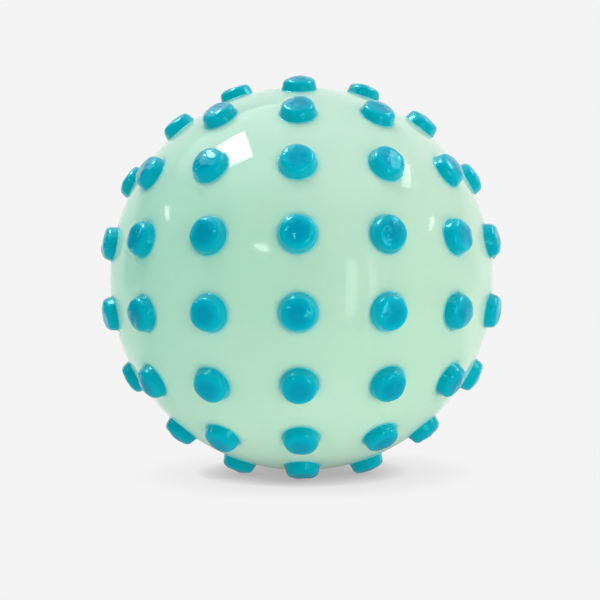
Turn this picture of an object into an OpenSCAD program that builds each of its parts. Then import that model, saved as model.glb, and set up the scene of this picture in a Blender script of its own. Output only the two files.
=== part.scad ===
// Sensory ball: a hollow shell of soft vinyl, rings of solid studs bonded to it,
// and a push-in air valve in the plain band between the two belt rings.
// Frame: origin at the ball's centre, +Z up through the top stud, front at -Y, valve at +Y.

/* [Shell] */
// Outside diameter of the shell, without the studs
ball_d = 189; // [160:1:230]
// Thickness of the shell's wall
wall = 1.6; // [1.2:0.1:2.4]

/* [Studs] */
// Diameter of a stud where it meets the shell
stud_base_d = 16.8; // [14:0.1:19]
// Height of a stud above the shell
stud_h = 5.5; // [4.5:0.1:7]
// Draft angle of a stud's side
stud_draft = 15; // [8:1:20]
// Radius of the rounded edge round a stud's flat top
stud_edge_r = 2.9; // [1.5:0.1:3.4]
// Thickness of the bond line under a stud and round the valve seat
bond_t = 0.05; // [0.02:0.01:0.1]

/* [Stud rings] */
// Angle between neighbouring rings, seen from the ball's centre
ring_step = 20; // [18.5:0.5:20.5]
// Studs in each belt ring, an odd number so that a gap faces the valve
belt_count = 15; // [13:2:17]
// Studs in each waist ring, next after the belt
waist_count = 13; // [11:1:14]
// Studs in each shoulder ring, next after the waist
shoulder_count = 10; // [8:1:11]
// Studs in each crown ring, the last before the pole
crown_count = 5; // [4:1:6]

/* [Valve seat] */
// Width of the lip that lies on the shell, outside the neck
lip_w = 2; // [1.5:0.1:3]
// Height of the lip above the shell
lip_h = 0.8; // [0.6:0.1:1.2]
// Wall of the neck, outside the fingernail notch
neck_wall = 0.8; // [0.6:0.1:1.4]
// Width of the flange inside the shell, outside the neck
flange_w = 2.6; // [2:0.1:4]
// Thickness of the flange inside the shell
flange_t = 1.6; // [1.2:0.1:2]
// Outside diameter of the tube that grips the plug
tube_d = 10; // [8.5:0.1:11]
// Depth of the tube below the outside of the shell
tube_depth = 16; // [15:0.5:20]
// Width of the fingernail notch beside the plug's head
notch_w = 4; // [3:0.1:5]

/* [Valve plug] */
// Diameter of the plug's head
head_d = 9.5; // [8.5:0.1:11]
// Thickness of the plug's head
head_t = 1.8; // [1.4:0.1:2.2]
// Radius of the rounded rim of the head
head_edge_r = 0.6; // [0.3:0.1:0.8]
// Diameter of the plug's shank
shank_d = 5; // [4:0.1:5.6]
// Length of the shank below the head
shank_len = 12; // [9:0.5:13]
// Length of the tapered tip, part of the shank
tip_len = 2.5; // [1.5:0.1:3.5]
// Diameter of the tip's blunt end
tip_d = 3.2; // [2:0.1:3.6]
// Radial clearance of the shank in the tube
shank_fit = 0.05; // [0.02:0.01:0.1]
// Radial clearance round the head
head_gap = 0.3; // [0.2:0.05:0.5]

/* [Hidden] */
$fn = 120;

// Extra length of every cut past the surface that it opens
overrun = 1;

// Shell
ball_r = ball_d / 2;
inner_r = ball_r - wall;

// Latitudes of the rings, counted from the equator in half steps
belt_lat = ring_step / 2;
waist_lat = belt_lat + ring_step;
shoulder_lat = waist_lat + ring_step;
crown_lat = shoulder_lat + ring_step;

// Stud profile, measured along the stud's axis from the ball's centre
stud_base_r = stud_base_d / 2;
stud_base_z = sqrt(pow(ball_r, 2) - pow(stud_base_r, 2));
stud_top_z = ball_r + stud_h;
stud_root_z = stud_base_z - overrun;
stud_edge_z = stud_top_z - stud_edge_r;
stud_edge_x = stud_side_x(stud_edge_z) - stud_edge_r / cos(stud_draft);

// Valve, measured along its axis from the ball's centre
lip_top_z = ball_r + lip_h;
bore_r = shank_d / 2 + shank_fit;
// Recess for the plug's head, and how far the fingernail notch reaches past it
recess_r = head_d / 2 + head_gap;
notch_reach = recess_r + notch_w / 2;
neck_r = notch_reach + neck_wall;
lip_r = neck_r + lip_w;
flange_r = neck_r + flange_w;
// Opening in the shell that the neck fills
opening_r = neck_r + bond_t;
// The lip is cut flat out to the notch, and the head lies flush with that flat
face_z = sqrt(pow(lip_top_z, 2) - pow(notch_reach, 2));
recess_z = face_z - head_t;
flange_base_r = inner_r - flange_t;
// The neck ends inside the lip, level with the lip's top edge
neck_top_z = sqrt(pow(lip_top_z, 2) - pow(lip_r, 2));
tube_end_z = ball_r - tube_depth;
tip_end_z = recess_z - shank_len;
tip_start_z = tip_end_z + tip_len;

// Radius of a stud's drafted side at a height along its axis
function stud_side_x(z) = stud_base_r - (z - stud_base_z) * tan(stud_draft);

// Half of a stud's section: a drafted side, a rounded edge, a flat top and a seat that fits the shell
module stud_section() {
    side_touch = [stud_edge_x + stud_edge_r * cos(stud_draft), stud_edge_z + stud_edge_r * sin(stud_draft)];
    difference() {
        union() {
            polygon([
                [0, stud_root_z], [stud_side_x(stud_root_z), stud_root_z], side_touch,
                [stud_edge_x, stud_edge_z], [stud_edge_x, stud_top_z], [0, stud_top_z]
            ]);
            translate([stud_edge_x, stud_edge_z]) circle(r = stud_edge_r);
        }
        circle(r = ball_r + bond_t);
    }
}

// One stud on the +Z axis
module stud() {
    rotate_extrude() stud_section();
}

// A ring of studs at one latitude, starting at the front
module stud_ring(latitude, count) {
    for (i = [0 : count - 1])
        rotate([90 - latitude, 0, i * 360 / count]) stud();
}

// Turns a shape made on +Z so that it points to the back
module at_back() {
    rotate([-90, 0, 0]) children();
}

// Half plane on which every section is revolved, out to the given reach
module half_plane(reach) {
    translate([0, -reach]) square([reach, 2 * reach]);
}

// Hollow sphere with the round opening for the valve
module ball_shell() {
    color([0.70, 0.87, 0.77])
        at_back() rotate_extrude() difference() {
            intersection() {
                circle(r = ball_r);
                half_plane(ball_r + overrun);
            }
            circle(r = inner_r);
            translate([-overrun, 0]) square([overrun + opening_r, ball_r + overrun]);
        }
}

// Grommet that holds the plug: lip outside, neck in the opening, flange inside, tube inwards
module valve_seat() {
    color([0.78, 0.90, 0.84]) at_back() difference() {
        rotate_extrude() difference() {
            union() {
                // lip on the outside of the shell
                intersection() {
                    difference() {
                        circle(r = lip_top_z);
                        circle(r = ball_r + bond_t);
                    }
                    square([lip_r, face_z]);
                }
                // neck through the shell's wall
                translate([0, flange_base_r]) square([neck_r, neck_top_z - flange_base_r]);
                // flange on the inside of the shell
                intersection() {
                    difference() {
                        circle(r = inner_r - bond_t);
                        circle(r = flange_base_r);
                    }
                    square([flange_r, ball_r]);
                }
                // tube that grips the shank
                translate([0, tube_end_z]) square([tube_d / 2, neck_top_z - tube_end_z]);
            }
            translate([-overrun, tube_end_z - overrun]) square([overrun + bore_r, face_z]);
            translate([-overrun, recess_z]) square([overrun + recess_r, face_z]);
        }
        // fingernail notch at the upper edge of the head
        translate([0, -recess_r, recess_z]) cylinder(d = notch_w, h = face_z);
    }
}

// Half of the plug's section: flat head with a rounded rim, plain shank, tapered tip
module plug_section() {
    rim_x = head_d / 2 - head_edge_r;
    rim_z = face_z - head_edge_r;
    polygon([
        [0, tip_end_z], [tip_d / 2, tip_end_z], [shank_d / 2, tip_start_z], [shank_d / 2, recess_z],
        [head_d / 2, recess_z], [head_d / 2, rim_z], [rim_x, rim_z], [rim_x, face_z], [0, face_z]
    ]);
    translate([rim_x, rim_z]) circle(r = head_edge_r);
}

// Plug pushed into the valve seat
module valve_plug() {
    color([0.93, 0.95, 0.93]) at_back() rotate_extrude() plug_section();
}

// Colour of every stud
module blue() {
    color([0.0, 0.62, 0.74]) children();
}

module top_stud() { blue() stud(); }
module crown_studs() { blue() stud_ring(crown_lat, crown_count); }
module upper_shoulder_studs() { blue() stud_ring(shoulder_lat, shoulder_count); }
module upper_waist_studs() { blue() stud_ring(waist_lat, waist_count); }
module upper_belt_studs() { blue() stud_ring(belt_lat, belt_count); }
module lower_belt_studs() { blue() stud_ring(-belt_lat, belt_count); }
module lower_waist_studs() { blue() stud_ring(-waist_lat, waist_count); }
module lower_shoulder_studs() { blue() stud_ring(-shoulder_lat, shoulder_count); }
module foot_studs() { blue() stud_ring(-crown_lat, crown_count); }

ball_shell();
top_stud();
crown_studs();
upper_shoulder_studs();
upper_waist_studs();
upper_belt_studs();
lower_belt_studs();
lower_waist_studs();
lower_shoulder_studs();
foot_studs();
valve_seat();
valve_plug();
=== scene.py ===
# %% [markdown]
# # A soft sensory ball
#
# The object is a hollow ball of translucent mint vinyl with rings of glossy blue studs and a push-in
# air valve at the back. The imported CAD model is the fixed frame: it says how large every piece is and
# where it sits. This lesson puts the looks round it, one piece and one finish at a time.

import math

import bmesh
import bpy
from mathutils import Matrix, Vector


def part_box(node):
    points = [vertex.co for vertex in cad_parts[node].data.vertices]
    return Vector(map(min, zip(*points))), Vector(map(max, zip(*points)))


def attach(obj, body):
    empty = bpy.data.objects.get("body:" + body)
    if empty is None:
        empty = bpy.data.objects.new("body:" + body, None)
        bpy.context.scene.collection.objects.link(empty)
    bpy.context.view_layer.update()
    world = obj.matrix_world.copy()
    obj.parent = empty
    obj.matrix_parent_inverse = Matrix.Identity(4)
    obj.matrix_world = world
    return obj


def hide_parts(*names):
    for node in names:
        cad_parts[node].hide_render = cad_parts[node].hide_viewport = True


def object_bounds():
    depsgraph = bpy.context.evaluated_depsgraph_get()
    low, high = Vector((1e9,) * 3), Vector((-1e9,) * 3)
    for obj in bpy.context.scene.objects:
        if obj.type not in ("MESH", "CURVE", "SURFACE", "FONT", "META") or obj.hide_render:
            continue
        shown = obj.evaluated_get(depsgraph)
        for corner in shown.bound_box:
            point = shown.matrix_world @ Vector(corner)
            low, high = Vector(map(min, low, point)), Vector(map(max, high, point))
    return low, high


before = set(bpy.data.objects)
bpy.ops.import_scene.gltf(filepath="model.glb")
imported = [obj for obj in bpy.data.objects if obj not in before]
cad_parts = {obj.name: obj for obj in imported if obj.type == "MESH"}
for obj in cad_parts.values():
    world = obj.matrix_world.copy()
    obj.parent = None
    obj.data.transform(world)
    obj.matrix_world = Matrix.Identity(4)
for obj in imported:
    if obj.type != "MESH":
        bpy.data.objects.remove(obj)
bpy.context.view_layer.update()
scene = bpy.context.scene
scene.view_settings.view_transform = "Standard"
print("CAD nodes:", sorted(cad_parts))

# %% [markdown]
# ## Sizes
#
# All sizes are in metres. The ball's radius, the height of the studs and the place of the valve could be
# typed in, but here they are read from the frame, so the dressed ball follows the CAD model. The smaller
# radii that soften edges are chosen where they are used, because they only matter to the eye.

# %% Sizes taken from the frame
MM = 0.001
shell_low, shell_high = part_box("ball_shell")
ball_r = (shell_high.z - shell_low.z) / 2
top_low, top_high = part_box("top_stud")
stud_top = top_high.z
stud_base_r = (top_high.x - top_low.x) / 2
seat_low, seat_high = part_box("valve_seat")
lip_r = (seat_high.x - seat_low.x) / 2
plug_low, plug_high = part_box("valve_plug")
print(f"ball radius {ball_r / MM:.2f} mm, stud top {stud_top / MM:.2f} mm")


# %% [markdown]
# ## A lathe for round pieces
#
# The shell, the studs and both valve pieces are bodies of revolution. Blender has a Screw modifier and a
# Spin tool for that, but a short lathe of our own closes the poles with one vertex each, so no seam has
# to be merged afterwards. A section is a list of (radius, height) points, from one end to the other.

# %% Lathe helpers
ON_AXIS = 1e-9
MERGE_GAP = 1e-7


def arc(centre, radius, start_deg, end_deg, steps):
    """Points of a circular arc in the section plane, both ends included."""
    points = []
    for i in range(steps + 1):
        angle = math.radians(start_deg + (end_deg - start_deg) * i / steps)
        points.append((centre[0] + radius * math.cos(angle), centre[1] + radius * math.sin(angle)))
    return points


def lathe(name, section, segments):
    """Revolves a section round +Z and returns a smooth object whose faces point outwards."""
    mesh = bmesh.new()
    rings = []
    turns = [2 * math.pi * i / segments for i in range(segments)]
    for radius, height in section:
        if radius < ON_AXIS:
            rings.append([mesh.verts.new((0, 0, height))])
            continue
        rings.append([mesh.verts.new((radius * math.cos(a), radius * math.sin(a), height)) for a in turns])
    for near, far in zip(rings, rings[1:]):
        for i in range(segments):
            j = (i + 1) % segments
            quad = [near[i % len(near)], near[j % len(near)], far[j % len(far)], far[i % len(far)]]
            mesh.faces.new(list(dict.fromkeys(quad)))
    bmesh.ops.remove_doubles(mesh, verts=mesh.verts, dist=MERGE_GAP)
    bmesh.ops.recalc_face_normals(mesh, faces=mesh.faces)
    for face in mesh.faces:
        face.smooth = True
    data = bpy.data.meshes.new(name)
    mesh.to_mesh(data)
    mesh.free()
    piece = bpy.data.objects.new(name, data)
    scene.collection.objects.link(piece)
    return piece


def to_back(piece):
    """Turns a piece made on +Z so that it points to the back, and keeps its object unturned."""
    piece.data.transform(Matrix.Rotation(math.radians(-90), 4, "X"))
    return piece


print("a quarter circle in 4 steps has", len(arc((0, 0), 1.0, 0, 90, 4)), "points")

# %% [markdown]
# ## Building materials from nodes
#
# Each finish is one Principled BSDF with a few texture nodes in front of it. They could be joined by hand
# in the shader editor; a script that does it can be read and changed. A few small helpers keep the trees
# short: they add a node, feed a number or a socket into it, mix two colours and map a range.

# %% Node helpers
def feed(tree, socket, value):
    """Links a value that is a socket itself, and sets any other."""
    if isinstance(value, bpy.types.NodeSocket):
        tree.links.new(value, socket)
    else:
        socket.default_value = value


def add_node(tree, kind, settings=None, **inputs):
    """Adds a node, sets its properties and feeds its inputs; Base_Color stands for "Base Color"."""
    node = tree.nodes.new(kind)
    for key, value in (settings or {}).items():
        setattr(node, key, value)
    for key, value in inputs.items():
        feed(tree, node.inputs[key.replace("_", " ")], value)
    return node


def mix_colour(tree, factor, a, b):
    """Mixes two colours, each a socket or three numbers, by a factor socket."""
    node = add_node(tree, "ShaderNodeMix", {"data_type": "RGBA"})
    tree.links.new(factor, node.inputs["Factor"])
    for socket, colour in ((node.inputs[6], a), (node.inputs[7], b)):
        feed(tree, socket, colour if isinstance(colour, bpy.types.NodeSocket) else (*colour, 1))
    return node.outputs[2]


def ramp(tree, value, low, high):
    """Maps a value from low..high to 0..1, clamped and smoothed."""
    node = add_node(tree, "ShaderNodeMapRange", {"interpolation_type": "SMOOTHSTEP"}, Value=value)
    node.inputs["From Min"].default_value = low
    node.inputs["From Max"].default_value = high
    return node.outputs["Result"]


def spread(tree, value, low, high):
    """Maps a value from 0..1 to low..high in a straight line."""
    node = add_node(tree, "ShaderNodeMapRange", Value=value)
    node.inputs["To Min"].default_value = low
    node.inputs["To Max"].default_value = high
    return node.outputs["Result"]


print("node helpers: feed, add_node, mix_colour, ramp and spread")

# %% Material helpers
def new_material(name):
    """A material with an empty tree and its output node."""
    material = bpy.data.materials.new(name)
    material.use_nodes = True
    material.node_tree.nodes.clear()
    return material, material.node_tree, material.node_tree.nodes.new("ShaderNodeOutputMaterial")


def own_place(tree):
    """A point's place on its own object, which the patterns follow."""
    return add_node(tree, "ShaderNodeTexCoord").outputs["Object"]


def stored(tree, name):
    """A number that was stored on the mesh."""
    return add_node(tree, "ShaderNodeAttribute", {"attribute_name": name}).outputs["Fac"]


print("material helpers: new_material, own_place and stored")

# %% [markdown]
# ## The mint vinyl
#
# The shell is milky, so light that enters it comes out a little further on. Glass with a volume inside
# would show that too, but slowly and with noise; subsurface scattering gives it at once. The wall is never
# quite even, which shows as faint clouds, made with noise. Close to a stud the blue vinyl tints the light
# in the shell, and that tint is painted into the colour; a stored attribute of the shell, made further
# down, says how close. A very weak bump keeps reflections from being as straight as in glass.

# %% Mint vinyl
MINT_LIGHT = (0.56, 0.80, 0.605)
MINT_DEEP = (0.515, 0.775, 0.57)
# painted light: the blue-green tint of the shell close to the studs
MINT_PAINTED_BLEED = (0.40, 0.85, 0.70)
MINT_ROUGHNESS = (0.045, 0.075)
CLOUD_SPAN = (0.3, 0.7)
PAINTED_BLEED = "painted_bleed"


def mint_vinyl():
    material, tree, output = new_material("mint_vinyl")
    place = own_place(tree)
    clouds = add_node(tree, "ShaderNodeTexNoise", Vector=place, Scale=14.0, Detail=3.0, Roughness=0.5)
    cloud = clouds.outputs["Fac"]
    plain = mix_colour(tree, ramp(tree, cloud, *CLOUD_SPAN), MINT_DEEP, MINT_LIGHT)
    # painted light: the shell is tinted blue-green close to the studs
    colour = mix_colour(tree, stored(tree, PAINTED_BLEED), plain, MINT_PAINTED_BLEED)
    ripple = add_node(tree, "ShaderNodeTexNoise", Vector=place, Scale=55.0, Detail=2.0)
    bump = add_node(tree, "ShaderNodeBump", Height=ripple.outputs["Fac"], Strength=0.02, Distance=0.4 * MM)
    skin = add_node(
        tree, "ShaderNodeBsdfPrincipled", Base_Color=colour, Roughness=spread(tree, cloud, *MINT_ROUGHNESS),
        Normal=bump.outputs["Normal"], IOR=1.52, Specular_IOR_Level=0.22,
        Subsurface_Weight=1.0, Subsurface_Radius=(0.9, 1.0, 0.8), Subsurface_Scale=3 * MM,
    )
    tree.links.new(skin.outputs["BSDF"], output.inputs["Surface"])
    return material


mint = mint_vinyl()
print("finish:", mint.name, "with", len(mint.node_tree.nodes), "nodes")

# %% [markdown]
# ## The blue vinyl
#
# The studs are cast from the same soft vinyl with more pigment. Light gets out again at the rounded rim and
# the shell shines through at the foot; both are painted into the colour, as a rim paler than the thick
# middle and a greener foot, and painted shade makes the top darker. A texture could be painted for that,
# but all studs are alike, so the colour follows two stored attributes of a stud instead: the distance from
# its axis and the height. A third gives each stud its own slight tint. The mould's walls are duller than
# its polished bottom, which shaped the tops.

# %% Blue vinyl
# painted shade and light: a darker top, a paler rim and a greener foot
BLUE_SHADED_TOP = (0.0, 0.305, 0.43)
BLUE_LIT_RIM = (0.0, 0.41, 0.505)
BLUE_LIT_FOOT = (0.0, 0.395, 0.475)
BLUE_SKIRT = (0.14, 0.74, 0.74)
RIM_LIGHT_SPAN = (0.3, 0.85)
FOOT_LIGHT_SPAN = (0.05, 0.6)
SKIRT_SPAN = (0.0, 0.08)
POLISH_SPAN = (0.2, 0.75)
WALL_TO_TOP_ROUGHNESS = (0.16, 0.09)
TINT_LIFT = (0.94, 1.06)
HEIGHT = "stud_height"
RIM = "stud_rim"
TINT = "stud_tint"


def blue_vinyl():
    material, tree, output = new_material("blue_vinyl")
    height = stored(tree, HEIGHT)
    # painted shade on the top, painted light at the rim and the foot
    upper = mix_colour(tree, ramp(tree, stored(tree, RIM), *RIM_LIGHT_SPAN), BLUE_SHADED_TOP, BLUE_LIT_RIM)
    body = mix_colour(tree, ramp(tree, height, *FOOT_LIGHT_SPAN), BLUE_LIT_FOOT, upper)
    colour = mix_colour(tree, ramp(tree, height, *SKIRT_SPAN), BLUE_SKIRT, body)
    lift = spread(tree, stored(tree, TINT), *TINT_LIFT)
    shade = add_node(tree, "ShaderNodeHueSaturation", Color=colour, Value=lift)
    ripple = add_node(tree, "ShaderNodeTexNoise", Vector=own_place(tree), Scale=330.0, Detail=2.0)
    bump = add_node(tree, "ShaderNodeBump", Height=ripple.outputs["Fac"], Strength=0.5, Distance=0.5 * MM)
    dull = spread(tree, ramp(tree, height, *POLISH_SPAN), *WALL_TO_TOP_ROUGHNESS)
    skin = add_node(
        tree, "ShaderNodeBsdfPrincipled", Base_Color=shade.outputs["Color"], Roughness=dull,
        Normal=bump.outputs["Normal"], IOR=1.40, Specular_IOR_Level=0.9, Specular_Tint=(0.16, 1.0, 1.0, 1.0),
        Subsurface_Weight=0.25, Subsurface_Radius=(0.2, 1.0, 1.0), Subsurface_Scale=3 * MM,
    )
    tree.links.new(skin.outputs["BSDF"], output.inputs["Surface"])
    return material


blue = blue_vinyl()
print("finish:", blue.name, "with", len(blue.node_tree.nodes), "nodes")

# %% [markdown]
# ## The valve's two plastics
#
# The seat is moulded in a paler, firmer vinyl than the shell and the plug in off-white plastic. Both have
# a satin skin with fine mould grain, so one function makes both and only colour and roughness differ.

# %% Valve plastics
SEAT_LIGHT = (0.62, 0.83, 0.72)
SEAT_DARK = (0.55, 0.78, 0.66)
PLUG_LIGHT = (0.86, 0.89, 0.86)
PLUG_DARK = (0.78, 0.82, 0.79)


def satin_plastic(name, light, dark, roughness):
    material, tree, output = new_material(name)
    place = own_place(tree)
    clouds = add_node(tree, "ShaderNodeTexNoise", Vector=place, Scale=180.0, Detail=4.0)
    colour = mix_colour(tree, clouds.outputs["Fac"], dark, light)
    grain = add_node(tree, "ShaderNodeTexNoise", Vector=place, Scale=1600.0, Detail=2.0)
    bump = add_node(tree, "ShaderNodeBump", Height=grain.outputs["Fac"], Strength=0.15, Distance=0.1 * MM)
    skin = add_node(
        tree, "ShaderNodeBsdfPrincipled", Base_Color=colour, Roughness=roughness,
        Normal=bump.outputs["Normal"], Subsurface_Weight=0.2,
        Subsurface_Radius=(1.0, 1.0, 1.0), Subsurface_Scale=2 * MM,
    )
    tree.links.new(skin.outputs["BSDF"], output.inputs["Surface"])
    return material


seat_vinyl = satin_plastic("seat_vinyl", SEAT_LIGHT, SEAT_DARK, roughness=0.30)
plug_plastic = satin_plastic("plug_plastic", PLUG_LIGHT, PLUG_DARK, roughness=0.38)
print("finishes:", seat_vinyl.name, plug_plastic.name)

# %% [markdown]
# ## The shell
#
# A sphere with a wall and one round opening at the back for the valve. A sphere with a Solidify and a
# Boolean modifier would do, but its opening would cut across the faces. Here the section runs from the
# front pole over the outside to the opening, through the wall, and along the inside back to the front
# pole, so the lathe gives one closed skin with a clean edge.

# %% Shell
WALL = 1.6 * MM
OPENING_R = 7.9 * MM
SHELL_TURNS = 240
OUTER_STEPS = 120
INNER_STEPS = 60


def shell_section():
    """From the outer front pole to the opening, then back along the inner wall."""
    inner_r = ball_r - WALL
    outer_end = 90 - math.degrees(math.asin(OPENING_R / ball_r))
    inner_end = 90 - math.degrees(math.asin(OPENING_R / inner_r))
    outer = arc((0, 0), ball_r, -90, outer_end, OUTER_STEPS)
    inner = arc((0, 0), inner_r, inner_end, -90, INNER_STEPS)
    outer[0] = (0.0, -ball_r)
    inner[-1] = (0.0, -inner_r)
    return outer + inner


shell = to_back(lathe("shell_skin", shell_section(), SHELL_TURNS))
print("shell faces:", len(shell.data.polygons))

# %% [markdown]
# ## Where the studs sit
#
# The studs stand in rings, one ring every 20 degrees of latitude, with a bare band at the equator and a
# single stud on top. Each ring starts at the front. The table gives a ring's latitude and its number of
# studs; the shell needs the places first, because it takes on a little blue close to each stud.

# %% Stud places
RING_STEP = 20
RINGS = {
    "top_stud": (90, 1),
    "crown_studs": (3.5 * RING_STEP, 5),
    "upper_shoulder_studs": (2.5 * RING_STEP, 10),
    "upper_waist_studs": (1.5 * RING_STEP, 13),
    "upper_belt_studs": (0.5 * RING_STEP, 15),
    "lower_belt_studs": (-0.5 * RING_STEP, 15),
    "lower_waist_studs": (-1.5 * RING_STEP, 13),
    "lower_shoulder_studs": (-2.5 * RING_STEP, 10),
    "foot_studs": (-3.5 * RING_STEP, 5),
}


def stud_axes():
    """Unit vectors through the middle of every stud, ring by ring, each ring from the front."""
    axes = []
    for latitude, count in RINGS.values():
        up = math.radians(latitude)
        flat = math.cos(up)
        for i in range(count):
            turn = 2 * math.pi * i / count
            axes.append(Vector((flat * math.sin(turn), -flat * math.cos(turn), math.sin(up))))
    return axes


axes = stud_axes()
print("studs:", len(axes))

# %% [markdown]
# ## Painted blue light round each stud
#
# Light that passes through a stud's foot colours the shell beside it. Scattering alone is too short to show
# this, so that light is painted: each point of the shell stores how close it lies to a stud, and the mint
# vinyl reads that.

# %% Painted blue light
PAINTED_BLEED_REACH = 4.5 * MM
PAINTED_BLEED_MOST = 0.6


def store_painted_bleed(mesh):
    """Stores painted light by how close each shell point lies to a stud: most at its foot, none at the
    reach.
    """
    data = mesh.attributes.new(PAINTED_BLEED, "FLOAT", "POINT").data
    for vertex, item in zip(mesh.vertices, data):
        nearest = max(vertex.co.normalized().dot(axis) for axis in axes)
        gap = ball_r * math.acos(min(1.0, nearest)) - stud_base_r
        share = max(0.0, min(1.0, 1 - gap / PAINTED_BLEED_REACH))
        item.value = PAINTED_BLEED_MOST * share ** 2


store_painted_bleed(shell.data)
shell.data.materials.append(mint)
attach(shell, "ball")
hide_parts("ball_shell")
print("points with a tinge:", sum(item.value > 0 for item in shell.data.attributes[PAINTED_BLEED].data))

# %% [markdown]
# ## One stud
#
# A stud is a low drafted cone with a softly domed top, a well rounded edge and a thin skirt where the
# blue vinyl crept out under it before it set. A bevelled cylinder would give the edge but not the skirt,
# so the section is drawn point by point: dome, edge, side and skirt each with as many steps as they need.

# %% Section of a stud
DRAFT = math.radians(12)
EDGE_R = 3.0 * MM
DOME_R = 20.0 * MM
DOME_RISE = 0.28 * MM
SKIRT_R = 0.45 * MM
SINK = 0.4 * MM
DOME_STEPS = 6
EDGE_STEPS = 9
SIDE_STEPS = 4
SKIRT_STEPS = 6
SETTLE_ROUNDS = 40


def blend_points(start, end, steps):
    """Points on a straight line, without its start."""
    shares = [i / steps for i in range(1, steps + 1)]
    return [(start[0] + (end[0] - start[0]) * s, start[1] + (end[1] - start[1]) * s) for s in shares]


def hollow_points(start, corner, end, steps):
    """Points on a curve that leaves start and reaches end, pulled towards a corner, without its start."""
    points = []
    for i in range(1, steps + 1):
        t = i / steps
        near, middle, far = (1 - t) ** 2, 2 * t * (1 - t), t ** 2
        points.append(tuple(near * a + middle * b + far * c for a, b, c in zip(start, corner, end)))
    return points


def stud_section():
    """From the middle of the top, over the rounded edge and down the side to the skirt."""
    base_z = math.sqrt(ball_r ** 2 - stud_base_r ** 2)
    top = stud_top + DOME_RISE
    # the edge touches the drafted side and the dome; its centre settles after a few rounds
    edge_z = base_z
    edge_x = 0.0
    for _ in range(SETTLE_ROUNDS):
        edge_x = stud_base_r - (edge_z - base_z) * math.tan(DRAFT) - EDGE_R / math.cos(DRAFT)
        edge_z = top - DOME_R + math.sqrt((DOME_R - EDGE_R) ** 2 - edge_x ** 2)
    lean = math.degrees(math.asin(edge_x / (DOME_R - EDGE_R)))
    dome = arc((0, top - DOME_R), DOME_R, 90, 90 - lean, DOME_STEPS)
    dome[0] = (0.0, top)
    side = dome + arc((edge_x, edge_z), EDGE_R, 90 - lean, math.degrees(DRAFT), EDGE_STEPS)[1:]
    knee = (stud_base_r - SKIRT_R * math.tan(DRAFT), base_z + SKIRT_R)
    skirt_r = stud_base_r + SKIRT_R
    foot = (skirt_r, math.sqrt(ball_r ** 2 - skirt_r ** 2))
    side += blend_points(side[-1], knee, SIDE_STEPS)
    side += hollow_points(knee, (stud_base_r, base_z), foot, SKIRT_STEPS)
    return side + [(skirt_r, foot[1] - SINK), (0.0, base_z - SINK)]


section = stud_section()
print("the section of a stud has", len(section), "points")

# %% [markdown]
# ## Heights stored on the stud
#
# The lathe turns the section into one stud at the top of the ball. The blue vinyl has to know the height
# of each point and its distance from the axis. A texture map would need unwrapping; two attributes stored
# on the points do without, and stay with the mesh when it is copied.

# %% Turn the stud
STUD_TURNS = 48

stud = lathe("stud_master", section, STUD_TURNS)
height_data = stud.data.attributes.new(HEIGHT, "FLOAT", "POINT").data
rim_data = stud.data.attributes.new(RIM, "FLOAT", "POINT").data
for vertex, height_item, rim_item in zip(stud.data.vertices, height_data, rim_data):
    above = (vertex.co.length - ball_r) / (stud_top - ball_r)
    height_item.value = max(0.0, min(1.0, above))
    rim_item.value = math.hypot(vertex.co.x, vertex.co.y) / stud_base_r
print("one stud has", len(stud.data.polygons), "faces")

# %% [markdown]
# ## Rings of studs with Geometry Nodes
#
# Each ring is the same stud repeated at one latitude. Copies could be placed in a loop, but a small node
# tree does it with inputs that can be changed: it makes as many points as the ring has studs, spreads them
# round the ball from the front, turns them to face outwards and puts a stud on each. Every stud also draws
# a number from the ring's seed, which gives it a tint of its own.

# %% Place the studs of a ring
VECTOR = "ShaderNodeVectorMath"


def maths(tree, operation, *values, kind="ShaderNodeMath"):
    """A sum of numbers or sockets; the vector kind works on three numbers at once."""
    node = add_node(tree, kind, {"operation": operation})
    for socket, value in zip(node.inputs, values):
        feed(tree, socket, value)
    return node.outputs[0]


def place_studs(tree, given):
    """One stud on each point of a ring, as real geometry with a tint drawn for each stud."""
    points = add_node(tree, "GeometryNodePoints", Count=given["Count"]).outputs[0]
    index = tree.nodes.new("GeometryNodeInputIndex").outputs[0]
    turn = maths(tree, "MULTIPLY", maths(tree, "DIVIDE", index, given["Count"]), 2 * math.pi)
    tip = maths(tree, "SUBTRACT", math.pi / 2, given["Latitude"])
    euler = add_node(tree, "ShaderNodeCombineXYZ", X=tip, Z=turn).outputs[0]
    rotation = add_node(tree, "FunctionNodeEulerToRotation", Euler=euler).outputs[0]
    source = add_node(tree, "GeometryNodeObjectInfo", Object=given["Stud"]).outputs["Geometry"]
    ring = add_node(tree, "GeometryNodeInstanceOnPoints", Points=points, Instance=source, Rotation=rotation)
    random = add_node(tree, "FunctionNodeRandomValue", {"data_type": "FLOAT"}, Seed=given["Seed"])
    tinted = add_node(
        tree, "GeometryNodeStoreNamedAttribute", {"data_type": "FLOAT", "domain": "INSTANCE"},
        Geometry=ring.outputs["Instances"], Name=TINT, Value=random.outputs[1],
    )
    return add_node(tree, "GeometryNodeRealizeInstances", Geometry=tinted.outputs[0]).outputs[0]


print("studs in the fullest ring:", max(count for latitude, count in RINGS.values()))

# %% [markdown]
# ## Uneven castings
#
# A soft casting is never quite true. A Displace modifier on each ring could show that, but noise in the
# same node tree keeps it in one place: it swells and sinks the upper part of each stud a little along its
# normals and leaves the foot where it is. The tree is built once and used for all nine rings.

# %% Ring tree
SWELL_SCALE = 140.0
SWELL = 1.5 * MM
RING_INPUTS = {
    "Geometry": "NodeSocketGeometry",
    "Stud": "NodeSocketObject",
    "Count": "NodeSocketInt",
    "Latitude": "NodeSocketFloat",
    "Seed": "NodeSocketInt",
    "Swell": "NodeSocketFloat",
    "Finish": "NodeSocketMaterial",
}


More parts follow.
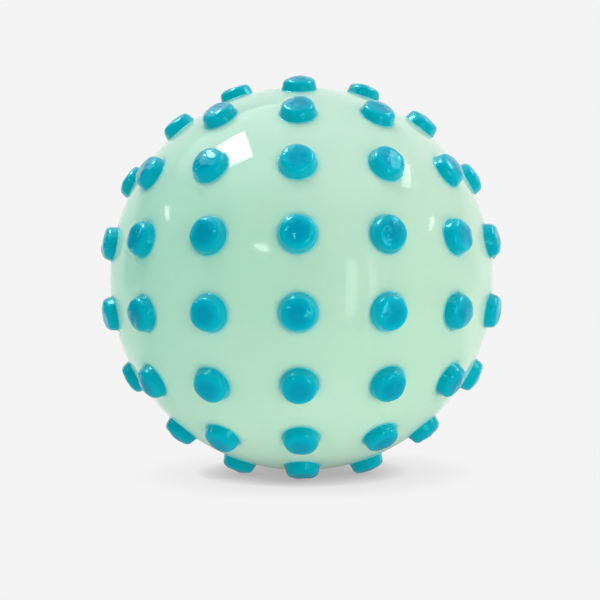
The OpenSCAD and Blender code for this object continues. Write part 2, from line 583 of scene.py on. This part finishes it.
def swell_studs(tree, given, studs):
    """Moves the studs' points along their normals by noise, more the higher they lie."""
    noise = add_node(tree, "ShaderNodeTexNoise", Scale=SWELL_SCALE, Detail=1.0).outputs["Fac"]
    high = add_node(tree, "GeometryNodeInputNamedAttribute", {"data_type": "FLOAT"}, Name=HEIGHT).outputs[0]
    share = maths(tree, "MULTIPLY", maths(tree, "SUBTRACT", noise, 0.5), high)
    amount = maths(tree, "MULTIPLY", share, given["Swell"])
    push = add_node(tree, VECTOR, {"operation": "SCALE"}, Scale=amount)
    tree.links.new(add_node(tree, "GeometryNodeInputNormal").outputs[0], push.inputs[0])
    return add_node(tree, "GeometryNodeSetPosition", Geometry=studs, Offset=push.outputs[0]).outputs[0]


def ring_tree():
    """The whole tree: named inputs, placed and swollen studs, and their finish."""
    tree = bpy.data.node_groups.new("stud_ring", "GeometryNodeTree")
    for name, kind in RING_INPUTS.items():
        tree.interface.new_socket(name, in_out="INPUT", socket_type=kind)
    tree.interface.new_socket("Geometry", in_out="OUTPUT", socket_type="NodeSocketGeometry")
    given = tree.nodes.new("NodeGroupInput").outputs
    result = tree.nodes.new("NodeGroupOutput")
    studs = swell_studs(tree, given, place_studs(tree, given))
    done = add_node(tree, "GeometryNodeSetMaterial", Geometry=studs, Material=given["Finish"]).outputs[0]
    tree.links.new(done, result.inputs[0])
    return tree


rings = ring_tree()
sockets = {s.name: s.identifier for s in rings.interface.items_tree if s.in_out == "INPUT"}
print("ring tree inputs:", list(sockets))

# %% [markdown]
# ## The nine rings
#
# A modifier runs the tree on an empty carrier. Its result is kept as a plain mesh, because the exported
# model has no modifiers, and then rides on the ball's body in place of the CAD node.

# %% Build the nine rings
def build_ring(node, latitude, count, seed):
    """Runs the ring tree for one node and keeps the result as a plain mesh."""
    carrier = bpy.data.objects.new("carrier", bpy.data.meshes.new("carrier"))
    scene.collection.objects.link(carrier)
    modifier = carrier.modifiers.new("ring", "NODES")
    modifier.node_group = rings
    values = {
        "Stud": stud, "Count": count, "Latitude": math.radians(latitude), "Seed": seed,
        "Swell": SWELL, "Finish": blue,
    }
    for name, value in values.items():
        modifier[sockets[name]] = value
    evaluated = carrier.evaluated_get(bpy.context.evaluated_depsgraph_get())
    mesh = bpy.data.meshes.new_from_object(evaluated)
    bpy.data.objects.remove(carrier)
    piece = bpy.data.objects.new(node + "_cast", mesh)
    scene.collection.objects.link(piece)
    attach(piece, "ball")
    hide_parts(node)
    return piece


stud_pieces = []
for seed, (node, (latitude, count)) in enumerate(RINGS.items()):
    stud_pieces.append(build_ring(node, latitude, count, seed))
    print(node, "at", latitude, "degrees:", count, "studs,", len(stud_pieces[-1].data.polygons), "faces")
bpy.data.objects.remove(stud)

# %% [markdown]
# ## The valve's sizes
#
# The ball is pumped up through a valve at its back: a soft seat in the shell's opening and a plug that is
# pushed into it. Outer sizes and places come from the frame. The frame doesn't show what lies inside the
# pieces, so the inner sizes repeat the values of the CAD model.

# %% Valve sizes
SHANK_R = 2.5 * MM
BORE_R = 2.55 * MM
HEAD_R = (plug_high.x - plug_low.x) / 2
HEAD_T = 1.8 * MM
RECESS_R = HEAD_R + 0.3 * MM
TUBE_R = 5.0 * MM
NECK_R = 7.85 * MM
FLANGE_R = 10.45 * MM
FLANGE_T = 1.6 * MM
LIP_T = 0.8 * MM
BOND = 0.05 * MM
face_z = plug_high.y
head_floor = face_z - HEAD_T
tube_end = seat_low.y
lip_top = ball_r + LIP_T
print(f"plug head {2 * HEAD_R / MM:.1f} mm wide, its face {face_z / MM:.2f} mm from the ball's middle")

# %% [markdown]
# ## The valve seat
#
# The seat is a grommet: a low lip outside, a recess for the plug's head and a tube inwards that grips the
# shank. It could be put together from cylinders, but on the lathe one section gives the whole moulding
# with its rounded rims. Only the fingernail notch isn't round, and a Boolean modifier cuts it.

# %% Valve seat
SOFT_EDGE = 0.25 * MM
SOFT_STEPS = 4
LIP_STEPS = 8
LIP_EDGE_DEG = 80
NOTCH_R = 2.0 * MM
NOTCH_TURNS = 32
SEAT_TURNS = 96


def on_sphere(radius, sphere_r):
    """The section point of a given radius on a sphere round the ball's centre."""
    return (radius, math.sqrt(sphere_r ** 2 - radius ** 2))


def seat_section():
    """Up the bore, over the recess and the lip, through the wall, round the flange and down the tube."""
    bed = ball_r + BOND
    inside = ball_r - WALL - BOND
    flange_base = ball_r - WALL - FLANGE_T
    flat_r = math.sqrt(lip_top ** 2 - face_z ** 2)
    flat_deg = math.degrees(math.acos(flat_r / lip_top))
    edge = on_sphere(lip_r - SOFT_EDGE, lip_top)
    edge_deg = math.degrees(math.acos(edge[0] / lip_top))
    points = [(BORE_R, tube_end), (BORE_R, head_floor - SOFT_EDGE)]
    points += arc((BORE_R + SOFT_EDGE, head_floor - SOFT_EDGE), SOFT_EDGE, 180, 90, SOFT_STEPS)
    points += [(RECESS_R, head_floor)]
    points += arc((RECESS_R + SOFT_EDGE, face_z - SOFT_EDGE), SOFT_EDGE, 180, 90, SOFT_STEPS)
    points += arc((0, 0), lip_top, flat_deg, edge_deg, LIP_STEPS)
    points += arc((edge[0], edge[1] - SOFT_EDGE), SOFT_EDGE, LIP_EDGE_DEG, 0, SOFT_STEPS)
    points += [on_sphere(lip_r, bed), on_sphere(NECK_R, bed), on_sphere(NECK_R, inside)]
    points += [on_sphere(FLANGE_R, inside), on_sphere(FLANGE_R, flange_base), on_sphere(TUBE_R, flange_base)]
    return points + [(TUBE_R, tube_end), (BORE_R, tube_end)]


def cut_notch(piece):
    """Cuts the fingernail notch into the upper edge of the recess, with a Boolean modifier."""
    depth = HEAD_T * 2
    section = [(0.0, 0.0), (NOTCH_R, 0.0), (NOTCH_R, depth), (0.0, depth)]
    cutter = lathe("notch_cutter", section, NOTCH_TURNS)
    cutter.data.transform(Matrix.Translation((0, -RECESS_R, head_floor)))
    modifier = piece.modifiers.new("notch", "BOOLEAN")
    modifier.object = cutter
    modifier.operation = "DIFFERENCE"
    modifier.solver = "EXACT"
    piece.data = bpy.data.meshes.new_from_object(piece.evaluated_get(bpy.context.evaluated_depsgraph_get()))
    piece.modifiers.clear()
    bpy.data.objects.remove(cutter)
    return piece


seat = to_back(cut_notch(lathe("valve_seat_moulding", seat_section(), SEAT_TURNS)))
seat.data.materials.append(seat_vinyl)
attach(seat, "ball")
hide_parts("valve_seat")
print("valve seat faces:", len(seat.data.polygons))

# %% [markdown]
# ## The valve plug
#
# The plug has a flat round head, a shank and a tapered tip, and it comes out when its joint is pulled. A
# cylinder with bevels would have a step at the tip, so it is turned on the lathe too. It rides on a body
# of its own, because it moves.

# %% Valve plug
HEAD_ROUND = 0.6 * MM
HEAD_BEVEL = 0.15 * MM
HEAD_STEPS = 6
SHANK_FLARE = 0.3 * MM
TIP_R = 1.6 * MM
TIP_LENGTH = 2.5 * MM
TIP_ROUND = 0.4 * MM
TIP_EDGE_DEG = 30
TIP_STEPS = 5
PLUG_TURNS = 64


def plug_section():
    """From the middle of the head, over its rim and down the shank to the tip."""
    tip_end = plug_low.y
    points = [(0.0, face_z)]
    points += arc((HEAD_R - HEAD_ROUND, face_z - HEAD_ROUND), HEAD_ROUND, 90, 0, HEAD_STEPS)
    points += [(HEAD_R, head_floor + HEAD_BEVEL), (HEAD_R - HEAD_BEVEL, head_floor)]
    points += [(SHANK_R + SHANK_FLARE, head_floor), (SHANK_R, head_floor - SHANK_FLARE)]
    points += [(SHANK_R, tip_end + TIP_LENGTH)]
    points += arc((TIP_R - TIP_ROUND, tip_end + TIP_ROUND), TIP_ROUND, TIP_EDGE_DEG, -90, TIP_STEPS)
    return points + [(0.0, tip_end)]


plug = to_back(lathe("valve_plug_moulding", plug_section(), PLUG_TURNS))
plug.data.materials.append(plug_plastic)
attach(plug, "plug")
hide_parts("valve_plug")
print("valve plug faces:", len(plug.data.polygons))

# %% [markdown]
# ## The contact shadow
#
# The ball stands on seamless pale paper and darkens it where it touches. A lit sheet would show a horizon
# and pick up the lamps, so this one glows in one plain colour and is darkened where something is close
# above it, which an Ambient Occlusion node measures. Two reaches make the shadow dark and narrow under the
# ball, with a faint wide edge.

# %% Contact shadow
PAPER = (0.904, 0.904, 0.904)
SHADOW = (0.37, 0.37, 0.37)
COVER_SAMPLES = 16
NEAR_REACH = 0.015
NEAR_LEAN = (0.30, 0.27, 0.915)
WIDE_REACH = 0.034
WIDE_LEAN = (-0.30, 0.27, 0.915)
NEAR_SHARE = 0.7
UNDER_LIGHT = 0.4


def openness(tree, reach, lean):
    """How open the sky is within a reach, seen in a leaning direction."""
    aim = add_node(tree, "ShaderNodeCombineXYZ", X=lean[0], Y=lean[1], Z=lean[2]).outputs[0]
    settings = {"samples": COVER_SAMPLES}
    return add_node(tree, "ShaderNodeAmbientOcclusion", settings, Distance=reach, Normal=aim).outputs["AO"]


def shaded_paper(tree, path):
    """The paper's colour with the contact shadow, which bounced light sees weaker."""
    near = maths(tree, "MULTIPLY", openness(tree, NEAR_REACH, NEAR_LEAN), NEAR_SHARE)
    sky = maths(tree, "MULTIPLY_ADD", openness(tree, WIDE_REACH, WIDE_LEAN), 1 - NEAR_SHARE, near)
    bounced = maths(tree, "MULTIPLY", path["Is Diffuse Ray"], UNDER_LIGHT)
    return mix_colour(tree, maths(tree, "MAXIMUM", sky, bounced), SHADOW, PAPER)


print(f"the contact shadow has reaches of {NEAR_REACH / MM:.0f} and {WIDE_REACH / MM:.0f} mm")

# %% [markdown]
# ## Floor
#
# One large square is enough for the paper, because the background behind its far edge has the same colour.
# Light that goes to and fro between the ball and the paper takes on the ball's colour. The paper could
# reflect it by itself, but a glowing sheet doesn't, so its light on the ball is tinted a little instead.
# From below the paper is clear, so the foot can be seen.

# %% Paper floor
BOUNCE_TINT = (1.12, 1.175, 1.19)
DIM_SPAN = (-0.02, 0.12)
DIM_PAPER = (0.20, 0.20, 0.20)
FLOOR_HALF = 4.0


def paper():
    material, tree, output = new_material("paper")
    path = add_node(tree, "ShaderNodeLightPath").outputs
    shade = shaded_paper(tree, path)
    # the dark side of the room begins in front of the ball, and only its gloss shows that
    geometry = add_node(tree, "ShaderNodeNewGeometry").outputs
    ahead = add_node(tree, "ShaderNodeSeparateXYZ", Vector=geometry["Position"]).outputs["Y"]
    dim = maths(tree, "SUBTRACT", 1.0, ramp(tree, ahead, *DIM_SPAN))
    seen = mix_colour(tree, maths(tree, "MULTIPLY", dim, path["Is Glossy Ray"]), shade, DIM_PAPER)
    bounce = mix_colour(tree, path["Is Diffuse Ray"], (1.0, 1.0, 1.0), BOUNCE_TINT)
    tinted = maths(tree, "MULTIPLY", seen, bounce, kind=VECTOR)
    glow = add_node(tree, "ShaderNodeEmission", Color=tinted, Strength=1.0)
    clear = add_node(tree, "ShaderNodeBsdfTransparent")
    sides = add_node(tree, "ShaderNodeMixShader", Fac=geometry["Backfacing"])
    tree.links.new(glow.outputs[0], sides.inputs[1])
    tree.links.new(clear.outputs[0], sides.inputs[2])
    tree.links.new(sides.outputs[0], output.inputs["Surface"])
    return material


floor_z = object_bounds()[0].z
floor_mesh = bpy.data.meshes.new("floor")
corners = [(x * FLOOR_HALF, y * FLOOR_HALF, floor_z) for x, y in ((-1, -1), (1, -1), (1, 1), (-1, 1))]
floor_mesh.from_pydata(corners, [], [(0, 1, 2, 3)])
floor = bpy.data.objects.new("floor", floor_mesh)
scene.collection.objects.link(floor)
floor_mesh.materials.append(paper())
print("floor", 2 * FLOOR_HALF, "m wide at", round(floor_z / MM, 2), "mm")

# %% [markdown]
# ## The room
#
# Around the ball is a room: a pale backdrop behind it, which ends left and right in an upright edge that
# shows in the gloss near the ball's outline, dimmer walls at the sides with more light on the right, a
# grey ceiling and a dark side behind the camera. It could be built from planes, but the world shader makes
# all of it from the direction alone. The camera itself sees the paper's colour everywhere, so the
# picture's background is even.

# %% World
BACKDROP = (0.98, 1.0, 1.0)
WALL_LEFT = (0.02, 0.27, 0.28)
WALL_RIGHT = (0.52, 0.51, 0.48)
DARK_SIDE = (0.05, 0.055, 0.06)
CEILING_GREY = (0.80, 0.82, 0.90)
BACKDROP_EDGE = math.cos(math.radians(54))
EDGE_SOFT = 0.03
LEFT_TO_RIGHT = (-0.8, 0.8)
DARK_TO_SIDE = (-0.95, -0.45)
WALL_TO_CEILING = (0.62, 0.8)


def room(world):
    world.use_nodes = True
    tree = world.node_tree
    tree.nodes.clear()
    direction = add_node(tree, "ShaderNodeTexCoord").outputs["Generated"]
    level = maths(tree, "MULTIPLY", direction, (1, 1, 0), kind=VECTOR)
    compass = maths(tree, "NORMALIZE", level, kind=VECTOR)
    around = add_node(tree, "ShaderNodeSeparateXYZ", Vector=compass).outputs
    up = add_node(tree, "ShaderNodeSeparateXYZ", Vector=direction).outputs["Z"]
    walls = mix_colour(tree, ramp(tree, around["X"], *LEFT_TO_RIGHT), WALL_LEFT, WALL_RIGHT)
    sides = mix_colour(tree, ramp(tree, around["Y"], *DARK_TO_SIDE), DARK_SIDE, walls)
    behind = ramp(tree, around["Y"], BACKDROP_EDGE - EDGE_SOFT, BACKDROP_EDGE + EDGE_SOFT)
    backed = mix_colour(tree, behind, sides, BACKDROP)
    roofed = mix_colour(tree, ramp(tree, up, *WALL_TO_CEILING), backed, CEILING_GREY)
    path = add_node(tree, "ShaderNodeLightPath").outputs
    straight = maths(tree, "MAXIMUM", path["Is Camera Ray"], path["Is Transmission Ray"])
    shown = mix_colour(tree, straight, roofed, PAPER)
    sky = add_node(tree, "ShaderNodeBackground", Color=shown, Strength=1.0)
    tree.links.new(sky.outputs[0], add_node(tree, "ShaderNodeOutputWorld").inputs["Surface"])


scene.world = bpy.data.worlds.new("room")
room(scene.world)
print("world:", scene.world.name, "with", len(scene.world.node_tree.nodes), "nodes")

# %% [markdown]
# ## Ceiling lights
#
# The bright patches on the ball are the reflections of rectangular lights in the ceiling. They could be
# painted into the world, but as area lamps each can be moved by itself and gives less noise. A lamp points
# down and is placed by its middle, size and turn. These lamps show in the gloss only.

# %% Ceiling lights
CEILING = 1.0
WATTS_PER_GLOW = 4.0


def area_lamp(name, width, height, glow):
    """An area lamp whose face shines with a given strength, whatever its size."""
    data = bpy.data.lights.new(name, "AREA")
    data.shape = "RECTANGLE"
    data.size = width
    data.size_y = height
    data.energy = WATTS_PER_GLOW * width * height * glow
    lamp = bpy.data.objects.new(name, data)
    scene.collection.objects.link(lamp)
    return lamp


def ceiling_light(name, x, y, width, depth, turn_deg, glow):
    """A lamp in the ceiling, given by its middle, size and turn; it shows in the gloss and nowhere else."""
    lamp = area_lamp(name, width, depth, glow)
    lamp.visible_diffuse = False
    lamp.location = (x, y, CEILING)
    lamp.rotation_euler.z = math.radians(turn_deg)
    return lamp


ceiling_light("ceiling_near_left", x=-0.51, y=-0.07, width=0.25, depth=0.42, turn_deg=0, glow=16)
ceiling_light("ceiling_glow", x=-0.62, y=-0.03, width=1.0, depth=1.2, turn_deg=0, glow=1.0)
ceiling_light("ceiling_near_right", x=1.03, y=-0.01, width=0.15, depth=0.44, turn_deg=38, glow=6)
ceiling_light("ceiling_far_left", x=-2.03, y=0.07, width=0.5, depth=0.17, turn_deg=26, glow=6.5)
ceiling_light("ceiling_far_right", x=2.45, y=-0.16, width=0.68, depth=0.15, turn_deg=-27, glow=7)
ceiling_light("ceiling_front", x=-1.32, y=-3.4, width=0.44, depth=1.05, turn_deg=-14, glow=9.5)

# %% [markdown]
# ## Two upright panes
#
# At the front right two narrow upright lights draw faint streaks on the body. A strip in the world would
# do as well, but lamps close to the ball give each streak its own length and strength. They too show in
# the gloss only, and the camera doesn't see them.

# %% Panes
PANE_DISTANCE = 0.28


def upright_light(name, azimuth, elevation, distance, width, height, glow):
    """Azimuth 0 is the front and 90 the right, seen from the ball."""
    a = math.radians(azimuth)
    e = math.radians(elevation)
    away = Vector((math.cos(e) * math.sin(a), -math.cos(e) * math.cos(a), math.sin(e)))
    lamp = area_lamp(name, width, height, glow)
    lamp.location = away * distance
    lamp.rotation_euler = away.to_track_quat("Z", "Y").to_euler()
    return lamp


def pane_light(name, azimuth, elevation, width, height, glow):
    """A small upright pane near the ball that shows in the gloss and nowhere else."""
    lamp = upright_light(name, azimuth, elevation, PANE_DISTANCE, width, height, glow)
    lamp.visible_diffuse = False
    lamp.visible_camera = False
    return lamp


pane_light("pane_left", azimuth=24, elevation=-6, width=0.026, height=0.125, glow=3.0)
pane_light("pane_right", azimuth=34, elevation=-6, width=0.018, height=0.125, glow=2.6)

# %% [markdown]
# ## The studs' own lamps
#
# The studs are more curved than the body, so a lamp shrinks to a dot in their edges, and larger lamps would
# spoil the patches on the body. Light linking helps: two larger lamps reach the studs alone and give them
# their glints, and a soft one lights their right sides.

# %% Lamps for the studs
SOFT_DISTANCE = 1.5
stud_group = bpy.data.collections.new("studs")
for piece in stud_pieces:
    stud_group.objects.link(piece)


def soft_light(name, azimuth, elevation, size, glow, colour):
    """A large soft lamp that lights the vinyl without showing in its gloss."""
    lamp = upright_light(name, azimuth, elevation, SOFT_DISTANCE, size, size, glow)
    lamp.data.color = colour
    lamp.visible_glossy = False
    return lamp


def only_studs(lamp):
    """Links a lamp to the studs, so that nothing else receives its light."""
    lamp.light_linking.receiver_collection = stud_group


only_studs(ceiling_light("glint_ceiling", x=1.05, y=-0.1, width=0.6, depth=0.9, turn_deg=38, glow=2.6))
only_studs(pane_light("glint_pane", azimuth=27, elevation=5, width=0.022, height=0.2, glow=2.2))
only_studs(soft_light("stud_fill", azimuth=102, elevation=-2, size=1.0, glow=1.8, colour=(1.0, 1.0, 1.05)))

# %% [markdown]
# ## Soft light
#
# Daylight from several sides fills the milky vinyl. The world alone would light all sides alike, so four
# large soft lamps set how bright and how warm each side is. They would show as pale squares in the gloss,
# and are hidden from it.

# %% Soft lamps
soft_light("soft_front", azimuth=24, elevation=4, size=1.3, glow=1.95, colour=(1.0, 1.0, 1.02))
soft_light("soft_right", azimuth=75, elevation=5, size=1.0, glow=0.45, colour=(1.0, 0.95, 0.86))
soft_light("soft_left", azimuth=-65, elevation=0, size=1.0, glow=0.95, colour=(0.0, 1.0, 1.0))
soft_light("soft_top", azimuth=-80, elevation=76, size=1.0, glow=2.1, colour=(1.0, 0.96, 1.05))

# %% [markdown]
# ## Camera
#
# The camera stands a little below the ball's middle and looks at a point just under it, as in the
# photograph. It could be aimed with a Track To constraint, but the ball isn't in the middle of the picture,
# so the aim is turned by as many pixels as the middle is off.

# %% Camera
FRAME_PX = 600
SENSOR = 36.0
FOCAL_PX = 1112.0
CAMERA_DISTANCE = 5.88 * ball_r
CAMERA_ELEVATION = math.radians(-1.45)
CAMERA_AZIMUTH = math.radians(0.92)
CAMERA_ROLL = math.radians(0.46)
AIM_DOWN_PX = 21.2
AIM_LEFT_PX = 1.9

lens = bpy.data.cameras.new("camera")
lens.sensor_width = SENSOR
lens.lens = FOCAL_PX / FRAME_PX * SENSOR
camera = bpy.data.objects.new("camera", lens)
scene.collection.objects.link(camera)
stand = Vector((
    math.sin(CAMERA_AZIMUTH) * math.cos(CAMERA_ELEVATION),
    -math.cos(CAMERA_AZIMUTH) * math.cos(CAMERA_ELEVATION),
    math.sin(CAMERA_ELEVATION),
)) * CAMERA_DISTANCE
aim_left = Matrix.Rotation(math.atan(AIM_LEFT_PX / FOCAL_PX), 4, "Y")
aim_down = Matrix.Rotation(-math.atan(AIM_DOWN_PX / FOCAL_PX), 4, "X")
roll = Matrix.Rotation(-CAMERA_ROLL, 4, "Z")
turn = stand.to_track_quat("Z", "Y").to_matrix().to_4x4() @ aim_left @ aim_down @ roll
camera.matrix_world = Matrix.Translation(stand) @ turn
scene.camera = camera
print(f"camera {CAMERA_DISTANCE:.3f} m away, lens {lens.lens:.1f} mm")
